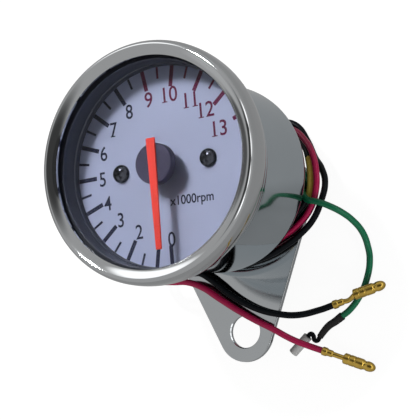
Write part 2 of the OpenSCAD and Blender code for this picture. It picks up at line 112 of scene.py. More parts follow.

# %% [markdown]
# The leads are the softest thing here, so they come next. Each one is a curve through listed
# points, given a round section. A Bezier spline with automatic handles passes through every point,
# so the lead stays where its CAD tube lies. The curve keeps a UV map, which the stripe needs.

# %% Routes of the leads, in millimetres, from the boot to the plug
RED_ROUTE = [
    (9, 23.05, 3.3), (12.9, 23.05, 3.3), (18.2, 21.4, 4.7), (22.6, 17.5, 6.9), (25.7, 13, 9.3),
    (26.8, 8, 10.2), (26.3, 2.6, 10.3), (23.8, -2.5, 9.9), (19.4, -6.3, 9.7), (14.4, -8.8, 9.7),
    (9.5, -10.5, 9.7), (4.1, -11.6, 9.7), (-1.3, -11.9, 9.7), (-6.6, -10.9, 9.7),
    (-11.5, -8.7, 9.7), (-15.9, -5.5, 9.8), (-20, -2.4, 10), (-24.6, -1, 10.4),
    (-28.8, -3.2, 10.9), (-30.3, -7.8, 11.4), (-28.8, -12.5, 11.8), (-24.8, -15.6, 12.1),
    (-19.8, -16.7, 12.3), (-15, -17.4, 12.3), (-10.6, -19.4, 12), (-6.1, -22.9, 11.4),
    (-1.3, -26.6, 10.8), (3.8, -30.1, 10.3), (9.2, -33.4, 9.9), (13.6, -36.6, 8),
    (17.7, -38.9, 6.1), (21.3, -40.6, 5.2),
]
BLACK_ROUTE = [
    (9, 24.95, 1.4), (13.2, 24.95, 1.4), (17.9, 23.1, 1.4), (20.9, 18.2, 1.5), (23.4, 13, 3),
    (26.5, 8.9, 5.8), (28.2, 4.2, 8.2), (27.2, -0.6, 9.6), (24.6, -5, 9.7), (20.6, -8.4, 9.7),
    (15.9, -10.9, 9.7), (11, -12.8, 9.7), (5.8, -13.9, 9.7), (0.4, -14.3, 9.7),
    (-4.9, -13.6, 9.7), (-9.9, -11.9, 9.7), (-14.6, -9.2, 9.7), (-19, -6.5, 9.9),
    (-23.2, -5.2, 10.3), (-26.5, -6.5, 10.7), (-27.8, -9.5, 11), (-26.4, -12.5, 11.3),
    (-22.4, -13.8, 11.5), (-16.9, -14.1, 11.7), (-11.4, -15.2, 11.6), (-7.4, -18.1, 11.2),
    (-3.5, -21.7, 10.8), (0.8, -24.9, 10.4), (5.6, -27.6, 10.1), (10.7, -29.4, 9.9),
    (16.2, -30.4, 8.5), (21.8, -29.6, 5.8), (25.6, -28.7, 4.9),
]
GREEN_ROUTE = [
    (9, 21.15, 3.3), (12.8, 21.15, 3.3), (17.3, 18.9, 6), (20.1, 14.6, 9.3), (21.2, 9.4, 10),
    (21.8, 4.8, 10.4), (23.9, 0.3, 12), (28, -1.4, 12.8), (30.8, -2.9, 12), (33.3, -4.8, 9.9),
    (34.9, -6.9, 7.2), (36, -10, 4), (36.1, -13.7, 1.6), (36, -17.2, 0.95), (34.6, -22.3, 0.95),
    (31.8, -27, 1), (28.5, -30.3, 1.2), (26.4, -31.5, 1.3),
]
STRIPED_ROUTE = [
    (9, 21.15, 1.4), (12.8, 21.15, 1.4), (17.7, 19.8, 2.8), (21.7, 16.1, 5.7), (24.2, 11.5, 8.9),
    (24.7, 6.4, 9.8), (23.5, 1.3, 9.7), (20.4, -2.3, 9.8), (16.4, -5, 9.9), (11.8, -6.3, 10.4),
    (7.5, -6.2, 10.4),
]
LEAD_D = 1.8


def span(route):
    """Length of a route in metres, straight from point to point."""
    return sum((Vector(b) - Vector(a)).length for a, b in zip(route, route[1:])) * MM


for route in (RED_ROUTE, BLACK_ROUTE, GREEN_ROUTE, STRIPED_ROUTE):
    print("a lead of", round(span(route), 4), "m in", len(route), "points")


# %% One round tube along a route
def tube(name, route, diameter, material=None, end_size=1.0):
    """A round section along a route in millimetres; end_size is the last diameter over the first."""
    curve = bpy.data.curves.new(name, "CURVE")
    curve.dimensions = "3D"
    curve.bevel_depth = diameter / 2 * MM
    curve.bevel_resolution = 5
    curve.resolution_u = 8
    curve.use_fill_caps = True
    spline = curve.splines.new("BEZIER")
    spline.bezier_points.add(len(route) - 1)
    for i, (point, place) in enumerate(zip(spline.bezier_points, route)):
        point.co = Vector(place) * MM
        point.radius = 1 + (end_size - 1) * i / (len(route) - 1)
        point.handle_left_type = point.handle_right_type = "AUTO"
    if material:
        curve.materials.append(material)
    return add_object(name, curve)


red_lead = tube("red_lead", RED_ROUTE, LEAD_D)
black_lead = tube("black_lead", BLACK_ROUTE, LEAD_D)
green_lead = tube("green_lead", GREEN_ROUTE, LEAD_D)
striped_lead = tube("striped_lead", STRIPED_ROUTE, LEAD_D)
print("leads made:", len(bpy.data.curves))

# %% [markdown]
# Two effects come back in most finishes: a slow change of tone, from handling and moulding, and a
# fine grain that catches the light. Each is a node group, built once. Both read Object coordinates,
# so they stay put on the piece when it moves or is exported.

# %% Shared effects
SMUDGE_SCALE, SMUDGE_DETAIL = 90.0, 5.0
GRAIN_HEIGHT = 0.05        # millimetres


def set_inputs(node, **values):
    """Sets a node's sockets, with an underscore for each space in their names."""
    for socket, value in values.items():
        node.inputs[socket.replace("_", " ")].default_value = value


def group_start(name, inputs, outputs):
    """A new shader node group with sockets of the kinds named, and its two end nodes."""
    group = bpy.data.node_groups.new(name, "ShaderNodeTree")
    for direction, sockets in (("INPUT", inputs), ("OUTPUT", outputs)):
        for socket, kind in sockets.items():
            group.interface.new_socket(socket, in_out=direction, socket_type="NodeSocket" + kind)
    return group, group.nodes.new("NodeGroupInput"), group.nodes.new("NodeGroupOutput")


def noise(tree, scale, detail=3.0):
    """A noise texture on Object coordinates; scale is a number or a socket."""
    place = tree.nodes.new("ShaderNodeTexCoord")
    texture = tree.nodes.new("ShaderNodeTexNoise")
    set_inputs(texture, Detail=detail, Roughness=0.55)
    tree.links.new(place.outputs["Object"], texture.inputs["Vector"])
    if isinstance(scale, (int, float)):
        texture.inputs["Scale"].default_value = scale
    else:
        tree.links.new(scale, texture.inputs["Scale"])
    return texture.outputs["Fac"]


def math_node(tree, operation, *values):
    """A Math node whose inputs are numbers or sockets; gives its output."""
    node = tree.nodes.new("ShaderNodeMath")
    node.operation = operation
    for socket, value in zip(node.inputs, values):
        if isinstance(value, (int, float)):
            socket.default_value = value
        else:
            tree.links.new(value, socket)
    return node.outputs[0]


def patchy_tone_group():
    """Colour in, the same colour out with slow lighter and darker patches."""
    group, start, end = group_start(
        "patchy_tone", {"Color": "Color", "Scale": "Float", "Amount": "Float"}, {"Color": "Color"})
    patches = noise(group, start.outputs["Scale"], 4.0)
    centred = math_node(group, "SUBTRACT", patches, 0.5)
    swing = math_node(group, "MULTIPLY", centred, start.outputs["Amount"])
    factor = math_node(group, "ADD", math_node(group, "MULTIPLY", swing, 2.0), 1.0)
    tone = group.nodes.new("ShaderNodeVectorMath")
    tone.operation = "SCALE"
    group.links.new(start.outputs["Color"], tone.inputs[0])
    group.links.new(factor, tone.inputs["Scale"])
    group.links.new(tone.outputs[0], end.inputs["Color"])
    return group


def fine_grain_group():
    """Roughness and normal of a surface with small marks in it."""
    group, start, end = group_start(
        "fine_grain", {"Roughness": "Float", "Scale": "Float", "Depth": "Float", "Smudge": "Float"},
        {"Roughness": "Float", "Normal": "Vector"})
    smudges = math_node(group, "SUBTRACT", noise(group, SMUDGE_SCALE, SMUDGE_DETAIL), 0.5)
    wider = math_node(group, "MULTIPLY", smudges, start.outputs["Smudge"])
    group.links.new(math_node(group, "ADD", wider, start.outputs["Roughness"]),
                    end.inputs["Roughness"])
    bump = group.nodes.new("ShaderNodeBump")
    set_inputs(bump, Distance=GRAIN_HEIGHT * MM)
    group.links.new(start.outputs["Depth"], bump.inputs["Strength"])
    group.links.new(noise(group, start.outputs["Scale"], 2.0), bump.inputs["Height"])
    group.links.new(bump.outputs[0], end.inputs["Normal"])
    return group


PATCHY_TONE = patchy_tone_group()
FINE_GRAIN = fine_grain_group()
print("node groups:", PATCHY_TONE.name, FINE_GRAIN.name)

# %% [markdown]
# Every finish is a Principled shader whose colour passes through patchy_tone and whose roughness and
# normal come from fine_grain, each with its own scale. What is the same all over, such as metallic
# or the specular level, is set on the shader itself.

# %% A finish from a few plain values
def new_material(name):
    """A material, its node tree and its Principled shader."""
    material = bpy.data.materials.new(name)
    material.use_nodes = True
    return material, material.node_tree, material.node_tree.nodes["Principled BSDF"]


def finish(name, color, roughness, metallic=0, patches=(150, 0.08), grain=(3000, 0.1),
           smudge=0.05, **plain):
    """A material; patches and grain are a scale and a strength, plain other even inputs."""
    material, tree, shader = new_material(name)
    set_inputs(shader, Metallic=metallic, **plain)
    tone = tree.nodes.new("ShaderNodeGroup")
    tone.node_tree = PATCHY_TONE
    set_inputs(tone, Color=(*color, 1), Scale=patches[0], Amount=patches[1])
    surface = tree.nodes.new("ShaderNodeGroup")
    surface.node_tree = FINE_GRAIN
    set_inputs(surface, Roughness=roughness, Scale=grain[0], Depth=grain[1], Smudge=smudge)
    tree.links.new(tone.outputs["Color"], shader.inputs["Base Color"])
    tree.links.new(surface.outputs["Roughness"], shader.inputs["Roughness"])
    tree.links.new(surface.outputs["Normal"], shader.inputs["Normal"])
    return material


chrome = finish("chrome", (0.585, 0.6, 0.61), 0.06, 1, (40, 0.05), (900, 0.03), 0.05)
DRAWN_STEEL = (0.07, 1, (40, 0.06), (900, 0.02), 0.06)      # all but the colour
soft_chrome = finish("soft_chrome", (0.58, 0.605, 0.62), *DRAWN_STEEL)
cup_chrome = finish("cup_chrome", (0.52, 0.575, 0.61), *DRAWN_STEEL)
zinc = finish("zinc", (0.62, 0.63, 0.64), 0.32, 1, (400, 0.2), (2500, 0.25), 0.2)
gold = finish("gold", (0.72, 0.48, 0.1), 0.22, 1, (500, 0.35), (1800, 0.04), 0.1)
navy_plastic = finish("navy_plastic", (0.009, 0.014, 0.032), 0.42, 0, (200, 0.15))
cap_plastic = finish("cap_plastic", (0.035, 0.031, 0.072), 0.5, 0, (900, 0.4), (2200, 0.5),
                     Specular_IOR_Level=0.25)
black_steel = finish("black_steel", (0.05, 0.053, 0.065), 0.2, 1, (600, 0.2))
rubber = finish("rubber", (0.014, 0.014, 0.015), 0.62, 0, (300, 0.2), (1500, 0.5))
gasket_rubber = finish("gasket_rubber", (0.03, 0.037, 0.06), 0.5, 0, (300, 0.2), (1500, 0.3))
red_pvc = finish("red_pvc", (0.78, 0.01, 0.13), 0.33, 0, (250, 0.12))
black_pvc = finish("black_pvc", (0.004, 0.006, 0.009), 0.36, 0, (250, 0.2),
                   Specular_IOR_Level=0.15)
green_pvc = finish("green_pvc", (0.002, 0.27, 0.115), 0.3, 0, (250, 0.12))
pointer_red = finish("pointer_red", (0.86, 0.055, 0.036), 0.4, 0, (400, 0.06),
                     Specular_IOR_Level=0.2)
dial_white = finish("dial_white", (0.41, 0.45, 0.645), 0.5, 0, (60, 0.05), (4000, 0.05))
print("finishes:", len(bpy.data.materials))

# %% [markdown]
# The striped lead is black with one yellow stripe along it. The curve's UV map runs once round the
# tube in U, so a narrow band of U is the stripe, with a slightly uneven edge from noise.

# %% Striped covering
STRIPE_AT, STRIPE_HALF_WIDTH, STRIPE_UNEVEN = 0.5, 0.13, 0.05
COVERING_BLACK, STRIPE_YELLOW = (0.01, 0.01, 0.013), (0.95, 0.72, 0.14)

striped_pvc = finish("striped_pvc", COVERING_BLACK, 0.36, 0, (250, 0.2), Specular_IOR_Level=0.2)
tree = striped_pvc.node_tree
tone = tree.nodes["Principled BSDF"].inputs["Base Color"].links[0].from_node
parts = tree.nodes.new("ShaderNodeSeparateXYZ")
tree.links.new(tree.nodes.new("ShaderNodeTexCoord").outputs["UV"], parts.inputs[0])
off = math_node(tree, "ABSOLUTE", math_node(tree, "SUBTRACT", parts.outputs[0], STRIPE_AT))
uneven = math_node(tree, "MULTIPLY", noise(tree, 700), STRIPE_UNEVEN)
band = math_node(tree, "LESS_THAN", math_node(tree, "ADD", off, uneven), STRIPE_HALF_WIDTH)
mix = tree.nodes.new("ShaderNodeMix")
mix.data_type = "RGBA"
set_inputs(mix, A=(*COVERING_BLACK, 1), B=(*STRIPE_YELLOW, 1))
tree.links.new(band, mix.inputs["Factor"])
tree.links.new(mix.outputs["Result"], tone.inputs["Color"])
print("stripe at", STRIPE_AT, "of the way round")

# %% [markdown]
# Most of the gauge is turned or spun metal, so most pieces are a lathe: a half section drawn as a
# wire, its corners rounded by a vertex bevel, then spun once round. Edges over a set angle stay
# sharp, and a weighted-normal modifier keeps the flats flat beside their rounded corners.

# %% Lathe and mesh helpers
SHARP = math.radians(38)


def mark_sharp(bm):
    """Marks the edges whose faces meet at more than the set angle."""
    for edge in bm.edges:
        if len(edge.link_faces) == 2:
            edge.smooth = edge.calc_face_angle(0) < SHARP


def flats_stay_flat(piece):
    piece.modifiers.new("flat faces stay flat", "WEIGHTED_NORMAL").keep_sharp = True


def keep(bm, name, material, place=GAUGE, smooth=True):
    """Turns a bmesh into an object at the origin, with its place in its mesh."""
    bmesh.ops.remove_doubles(bm, verts=bm.verts, dist=0.002 * MM)
    bmesh.ops.recalc_face_normals(bm, faces=bm.faces)
    bmesh.ops.translate(bm, verts=bm.verts, vec=place)
    for face in bm.faces:
        face.smooth = smooth
    mark_sharp(bm)
    mesh = bpy.data.meshes.new(name)
    bm.to_mesh(mesh)
    bm.free()
    mesh.materials.append(material)
    piece = add_object(name, mesh)
    if smooth:
        flats_stay_flat(piece)
    return piece


def declare(piece, node=None, body="case"):
    """Hides the CAD node that a piece stands for, if there is one, and puts the piece on the body that carries it.
    """
    if node:
        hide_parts(node)
    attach(piece, body)


def evaluated_mesh(piece):
    """A new mesh of an object as its modifiers or its font leave it."""
    bpy.context.view_layer.update()
    return bpy.data.meshes.new_from_object(piece.evaluated_get(
        bpy.context.evaluated_depsgraph_get()))


def soften(bm, geom, size, segments, affect="EDGES"):
    """Rounds edges, or the corners of a wire, over a size in millimetres."""
    bmesh.ops.bevel(bm, geom=geom, offset=size * MM, offset_type="OFFSET", segments=segments,
                    profile=0.5, affect=affect, material=-1)


def block(bm, size, centre=(0, 0, 0)):
    """Adds a block of a size about a centre, in millimetres, and gives its vertices."""
    verts = bmesh.ops.create_cube(bm, size=1)["verts"]
    bmesh.ops.scale(bm, vec=Vector(size) * MM, verts=verts)
    bmesh.ops.translate(bm, vec=Vector(centre) * MM, verts=verts)
    return verts


def turn_z(bm, verts, degrees):
    bmesh.ops.rotate(bm, cent=(0, 0, 0), verts=verts,
                     matrix=Matrix.Rotation(math.radians(degrees), 3, "Z"))


def extrude(bm, rise):
    """Makes a flat outline's only face a solid that is rise millimetres high."""
    top = bmesh.ops.extrude_face_region(bm, geom=bm.faces[:])["geom"]
    bmesh.ops.translate(bm, vec=(0, 0, rise * MM),
                        verts=[v for v in top if isinstance(v, bmesh.types.BMVert)])
    bmesh.ops.recalc_face_normals(bm, faces=bm.faces)


def section(bm, corners):
    """A wire of (radius, height[, rounding]) corners in millimetres, closed if off the axis."""
    points = [bm.verts.new((corner[0] * MM, 0, corner[1] * MM)) for corner in corners]
    following = points[1:] + points[:1] if corners[0][0] else points[1:]
    for a, b in zip(points, following):
        bm.edges.new((a, b))
    for point, corner in zip(points, corners):
        if len(corner) > 2:
            soften(bm, [point], corner[2], 6, "VERTICES")


def lathe(name, corners, material, place=GAUGE, steps=160):
    bm = bmesh.new()
    section(bm, corners)
    bmesh.ops.spin(bm, geom=bm.verts[:] + bm.edges[:], cent=(0, 0, 0), axis=(0, 0, 1),
                   angle=math.tau, steps=steps, use_merge=True)
    return keep(bm, name, material, place)


def arc(centre, rx, rz, start, stop, count):
    """Points of an elliptical arc, in degrees, as (radius, height) pairs."""
    angles = [math.radians(start + (stop - start) * i / count) for i in range(count + 1)]
    return [(centre[0] + rx * math.cos(a), centre[1] + rz * math.sin(a)) for a in angles]


# %% [markdown]
# The bezel is one ring of thin chromed steel. Its side rises to a rounded shoulder, the front slopes
# in to a thin lip over the glass, and its back edge is rolled under the cup's flange. The shoulder is
# a true elliptical arc and the front a slope with a slight elliptical crown, because chrome shows
# every flat in its reflections.

# %% Bezel
def slope(start, end, crown, count):
    """A nearly straight slope between two points; crown 1 would make it a quarter ellipse."""
    round_one = arc((start[0], end[1]), start[0] - end[0], start[1] - end[1], 90, 180, count)
    points = []
    for i, rounded in enumerate(round_one[1:], 1):
        straight = [a + (b - a) * i / count for a, b in zip(start, end)]
        points.append(tuple(s + (r - s) * crown for s, r in zip(straight, rounded)))
    return points


BEZEL_WALL = 0.8
SHOULDER_IN, SHOULDER_H = 1.55, 2.85
LIP_IN, LIP_DROP, FRONT_CROWN = 4.05, 1.3, 0.3
ROLL_IN, ROLL_H, ROLLED_EDGE_IN = 2.0, 5.5, 2.4
bezel_r = radius("bezel_ring")
bezel_back, bezel_top = heights("bezel_ring")
ridge_r = bezel_r - SHOULDER_IN
lip_r = bezel_r - LIP_IN
rolled_r = bezel_r - ROLLED_EDGE_IN
inner_r = bezel_r - BEZEL_WALL
seat_z = bezel_top - LIP_DROP - BEZEL_WALL
side = arc((bezel_r - ROLL_IN, bezel_back + ROLL_H), ROLL_IN, ROLL_H, -90, 0, 20)
shoulder = arc((ridge_r, bezel_top - SHOULDER_H), SHOULDER_IN, SHOULDER_H, 0, 90, 16)
front = slope((ridge_r, bezel_top), (lip_r, bezel_top - LIP_DROP), FRONT_CROWN, 14)
inside = [(lip_r, seat_z), (inner_r, seat_z), (inner_r, bezel_back + 3.5),
          (inner_r - 0.4, bezel_back + 1.6), (inner_r - 0.8, bezel_back + BEZEL_WALL),
          (rolled_r, bezel_back + BEZEL_WALL, 0.3), (rolled_r, bezel_back, 0.3)]
bezel = lathe("bezel", side + shoulder + front + inside, chrome, steps=224)
declare(bezel, "bezel_ring")
print("bezel from", round(bezel_back, 2), "to", round(bezel_top, 2), "over the dial")

# %% [markdown]
# The cup is deep drawn: a flat back, a rounded back edge, a straight wall, and a mouth that flares
# out in two soft bends to the flange that the bezel holds. Only those bends matter to the eye, so
# the wall is drawn with few corners and generous roundings, the third number of a corner.

# %% Cup
CUP_WALL, CUP_IN, MOUTH_GAP = 0.8, 6.2, 0.2
FLARE_Z = -2.7             # where the flare ends, from the dial's face
cup_back, flange_top = heights("cup")
flange_r = radius("cup")
flange_z = flange_top - CUP_WALL
cup_r = bezel_r - CUP_IN
mouth_r = rolled_r - MOUTH_GAP
flare_low = FLARE_Z - (mouth_r - cup_r)
cup = lathe("cup_shell", [
    (0, cup_back), (cup_r, cup_back, 3.9), (cup_r, flare_low, 2.6), (mouth_r, FLARE_Z, 2.2),
    (mouth_r, flange_z, 0.2), (flange_r, flange_z, 0.1), (flange_r, flange_top, 0.1),
    (mouth_r - CUP_WALL, flange_top, 0.4), (mouth_r - CUP_WALL, FLARE_Z + 0.3, 2),
    (cup_r - CUP_WALL, flare_low + 0.3, 2.4), (cup_r - CUP_WALL, cup_back + CUP_WALL, 3.1),
    (0, cup_back + CUP_WALL)], cup_chrome, steps=192)
declare(cup, "cup")
print("cup radius", round(cup_r, 2), "depth", round(flange_top - cup_back, 2))

# %% [markdown]
# Behind the glass a dark sloping shroud runs down to the dial. It hides the dial's edge and takes
# the bezel's shadow. It has a fine step near its foot, which shows as a second, darker band.

# %% Shroud and glass
SHROUD_FOOT_IN = 1.65      # how far it covers the dial's edge
shroud_top = heights("reflector_shroud")[1]
shroud_foot_r = radius("dial_plate") - SHROUD_FOOT_IN
shroud_out = radius("reflector_shroud")
shroud = lathe("shroud", [
    (shroud_foot_r, 0.02, 0.1), (shroud_foot_r + 0.25, 1.6, 0.2), (shroud_foot_r + 0.55, 1.75, 0.2),
    (lip_r - 0.15, shroud_top, 0.1), (shroud_out, shroud_top), (shroud_out, shroud_top - 1),
    (lip_r + 0.3, shroud_top - 1), (shroud_foot_r + 1.1, 0.02)], navy_plastic, steps=192)
declare(shroud, "reflector_shroud")


def clear_glass():
    """Clear glass that lets lamps shine through it on to the dial."""
    material, tree, shader = new_material("clear_glass")
    set_inputs(shader, Base_Color=(0.97, 0.98, 1, 1), Roughness=0.02, IOR=1.18,
               Transmission_Weight=1)
    passing = tree.nodes.new("ShaderNodeBsdfTransparent")
    path = tree.nodes.new("ShaderNodeLightPath")
    mix = tree.nodes.new("ShaderNodeMixShader")
    tree.links.new(path.outputs["Is Shadow Ray"], mix.inputs[0])
    tree.links.new(shader.outputs[0], mix.inputs[1])
    tree.links.new(passing.outputs[0], mix.inputs[2])
    tree.links.new(mix.outputs[0], tree.nodes["Material Output"].inputs["Surface"])
    return material


glass = clear_glass()
lens_low, lens_top = heights("lens")
lens = lathe("lens_glass", [
    (0, lens_low), (radius("lens"), lens_low, 0.15), (radius("lens"), lens_top, 0.15),
    (0, lens_top)], glass, steps=128)
declare(lens, "lens")
print("shroud foot radius", round(shroud_foot_r, 2), "glass top", round(lens_top, 2))

# %% [markdown]
# Between the glass and the shroud lies a flat rubber ring. It stands a little inside the lip, so a
# thin dark edge of it shows through the glass. It is a lathe with a square section.

# %% Gasket under the glass
GASKET_SHOWS = 0.7
gasket_low, gasket_top = heights("lens_gasket")
gasket = lathe("glass_gasket", [
    (lip_r - GASKET_SHOWS, gasket_low, 0.2), (radius("lens_gasket"), gasket_low),
    (radius("lens_gasket"), gasket_top), (lip_r - GASKET_SHOWS, gasket_top, 0.2)],
    gasket_rubber)
declare(gasket, "lens_gasket")
print("gasket from", round(gasket_low, 2), "to", round(gasket_top, 2))

# %% [markdown]
# The dial is a flat printed disc. The print is modelled, not painted: each tick is a thin block and
# each number is text turned into a mesh, a few hundredths of a millimetre proud. The scale is a list
# of numbers at angles: 20 degrees to a number, 10 from 0 to 1, clockwise from 6 o'clock.

# %% Dial plate
DIAL_HOLE_R = 2.2
dial_r = radius("dial_plate")
dial_low, dial_top = heights("dial_plate")
dial = lathe("dial_face", [
    (DIAL_HOLE_R, dial_low), (dial_r, dial_low), (dial_r, dial_top, 0.05),
    (DIAL_HOLE_R, dial_top, 0.05)], dial_white, steps=128)
declare(dial, "dial_plate")

# %% Ticks
PRINT_T = 0.04
TICK_OUT = 26.75
MAJOR_IN, MINOR_IN, LAST_IN = 21.2, 23.6, 23.3
MAJOR_W, MINOR_W = 1.15, 0.65
FIRST_RED, LAST = 9, 13
UNMARKED = (0.5, 12.5)
LAST_LATE = 2.5            # degrees by which the last tick stands past its number


def scale_angle(number):
    """Degrees from the dial's 3 o'clock of a number on the scale."""
    return -90 - 10 * number if number < 1 else -100 - 20 * (number - 1)


print_dark, print_red = (
    finish(name, ink, 0.5, 0, (500, 0.2), Specular_IOR_Level=0.1)
    for name, ink in (("print_dark", (0.016, 0.018, 0.045)), ("print_red", (0.12, 0.014, 0.055))))
marks_dark, marks_red = bmesh.new(), bmesh.new()
for half in range(2 * LAST + 1):
    number = half / 2
    if number in UNMARKED:
        continue
    major = number == int(number)
    inner = LAST_IN if number == LAST else MAJOR_IN if major else MINOR_IN
    bm = marks_red if number >= FIRST_RED else marks_dark
    mark = block(bm, (TICK_OUT - inner, MAJOR_W if major else MINOR_W, PRINT_T),
                 ((TICK_OUT + inner) / 2, 0, 0))
    turn_z(bm, mark, scale_angle(number) + (LAST_LATE if number == LAST else 0))
print_pieces = [keep(marks_dark, "ticks_dark", print_dark, smooth=False),
                keep(marks_red, "ticks_red", print_red, smooth=False)]
print("ticks", [len(piece.data.polygons) // 6 for piece in print_pieces])

# %% [markdown]
# Numbers stand upright on the dial. Blender's own font comes close once it is drawn in to some nine
# tenths of its width. Each text is made a mesh before its place is applied.

# %% Numbers and unit
DIGIT_H, RED_H = 3.95, 4.2
DIGIT_SHARE = 0.72        # height of a digit over the font's size
NARROW, RED_NARROW = 0.86, 0.93
ZERO_REACH, REACH, RED_REACH = 19.6, 19.2, 18.7
BOLD = 0.05
FOOT = (1.7, 0.28, PRINT_T * 1.05)
# millimetres aside and up from a number's place on the scale
NUDGES = {0: (0.4, 0), 2: (0.3, 0.4), 3: (0, 0.1), 4: (-0.3, -0.6), 5: (-0.2, -0.5), 6: (-0.4, -0.2),
          8: (0.1, -0.3), 10: (0.2, 0.4), 12: (-0.3, 0.8), 13: (-0.1, 0.8)}


def islands(bm):
    """The separate letters of a text's mesh, from left to right, as lists of vertices."""
    left_over, found = set(bm.verts), []
    while left_over:
        reached, letter = [left_over.pop()], []
        while reached:
            vert = reached.pop()
            letter.append(vert)
            for edge in vert.link_edges:
                other = edge.other_vert(vert)
                if other in left_over:
                    left_over.remove(other)
                    reached.append(other)
        found.append(letter)
    return sorted(found, key=lambda letter: min(v.co.x for v in letter))


def add_feet(mesh, words):
    """Puts the small bar under each 1 and 7 that the dial's own numbers have."""
    bm = bmesh.new()
    bm.from_mesh(mesh)
    bmesh.ops.remove_doubles(bm, verts=bm.verts, dist=0.001 * MM)
    for digit, letter in zip(words, islands(bm)):
        if digit in "17":
            foot = min(v.co.y for v in letter)
            stem = [v.co.x for v in letter if v.co.y < foot + 0.2 * MM]
            centre = (min(stem) + max(stem)) / 2
            block(bm, FOOT, (centre / MM, foot / MM + FOOT[1] / 2, 0))
    bm.to_mesh(mesh)
    bm.free()


def lettering(words, centre, height, narrow=1.0, lean=0.0, bold=0.0, width=None):
    """Mesh text centred on a point of the dial, of a height and perhaps a width in millimetres."""
    text = bpy.data.curves.new("text", "FONT")
    text.body = words
    text.size = height / DIGIT_SHARE * MM
    text.align_x, text.align_y = "CENTER", "CENTER"
    text.extrude = PRINT_T / 2 * MM
    text.offset = bold * MM
    holder = add_object("text", text)
    mesh = evaluated_mesh(holder)
    bpy.data.objects.remove(holder)
    across, up = ([v.co[axis] for v in mesh.vertices] for axis in (0, 1))
    left, right = min(across), max(across)
    if words.isdigit():
        add_feet(mesh, words)
    mesh.transform(Matrix.Translation((-(left + right) / 2, -(min(up) + max(up)) / 2, 0)))
    if width:
        narrow = width * MM / (right - left)
    mesh.transform(Matrix.Diagonal((narrow, 1, 1, 1)))
    mesh.transform(Matrix.Rotation(math.radians(lean), 4, "Z"))
    mesh.transform(Matrix.Translation((centre[0] * MM, centre[1] * MM, 0)))
    return mesh


def print_text(name, texts, material):
    """One piece of print; each row of texts holds what lettering takes."""
    bm = bmesh.new()
    for row in texts:
        bm.from_mesh(lettering(*row))
    return keep(bm, name, material, smooth=False)


def number_row(number):
    """What lettering takes for one number of the scale."""
    red = number >= FIRST_RED
    reach = ZERO_REACH if number == 0 else RED_REACH if red else REACH
    angle = math.radians(scale_angle(number))
    aside, up = NUDGES.get(number, (0, 0))
    place = (reach * math.cos(angle) + aside, reach * math.sin(angle) + up)
    return (str(number), place, RED_H if red else DIGIT_H, RED_NARROW if red else NARROW, 0.0,
            BOLD)


UNIT_CENTRE, UNIT_LEAN = (7.35, -10.2), -2.0
UNIT_H, UNIT_W, UNIT_BOLD = 2.5, 13.1, 0.045
print_pieces += [
    print_text("numbers_dark", [number_row(n) for n in (0, *range(2, FIRST_RED))], print_dark),
    print_text("numbers_red", [number_row(n) for n in range(FIRST_RED, LAST + 1)], print_red),
    print_text("unit_print", [("x1000rpm", UNIT_CENTRE, UNIT_H, 1.0, UNIT_LEAN, UNIT_BOLD,
                               UNIT_W)], print_dark)]
for piece in print_pieces:
    declare(piece)
print("print pieces", len(print_pieces))

# %% [markdown]
# Two black screws hold the dial. A pan head is a dome with a cross recess. The recess is cut by
# Booleans from two crossed bars, and each result is applied, so that its cutter can go.

# %% Boolean helper and dial screws
SCREW_HEAD_R, SCREW_HEAD_H, HEAD_RIM = 2.45, 1.7, 0.25
RECESS, RECESS_ABOVE = (3.2, 0.8, 3.0), 0.2


def cut(piece, cutter, operation="DIFFERENCE"):
    """Applies a Boolean to a piece, removes the cutter and marks the sharp edges anew."""
    piece.modifiers.clear()
    boolean = piece.modifiers.new("cut", "BOOLEAN")
    boolean.operation = operation
    boolean.object = cutter
    boolean.solver = "EXACT"
    mesh = evaluated_mesh(piece)
    piece.modifiers.clear()
    bpy.data.objects.remove(cutter)
    bm = bmesh.new()
    bm.from_mesh(mesh)
    bmesh.ops.remove_doubles(bm, verts=bm.verts, dist=0.001 * MM)
    mark_sharp(bm)
    bm.to_mesh(piece.data)
    bm.free()
    flats_stay_flat(piece)


screw_x = radius("dial_screws") - SCREW_HEAD_R
dome = arc((0, HEAD_RIM), SCREW_HEAD_R, SCREW_HEAD_H - HEAD_RIM, 0, 90, 10)
for label, x, turned in (("left", -screw_x, 25), ("right", screw_x, 12)):
    place = GAUGE + Vector((x * MM, 0, 0))
    screw = lathe("dial_screw_" + label, [(0, 0), (SCREW_HEAD_R, 0)] + dome, black_steel, place,
                  steps=64)
    recess = place + Vector((0, 0, (SCREW_HEAD_H + RECESS_ABOVE) * MM))
    for degrees in (turned, turned + 90):
        bm = bmesh.new()
        turn_z(bm, block(bm, RECESS), degrees)
        cut(screw, keep(bm, "cutter", chrome, recess, smooth=False))
    declare(screw, "dial_screws" if label == "left" else None)
print("dial screws at", round(screw_x, 2))

# %% [markdown]
# The pointer is a thin tapered bar glued on a dark round cap. It belongs to the body that turns, and
# so does its cap: both ride on the needle.

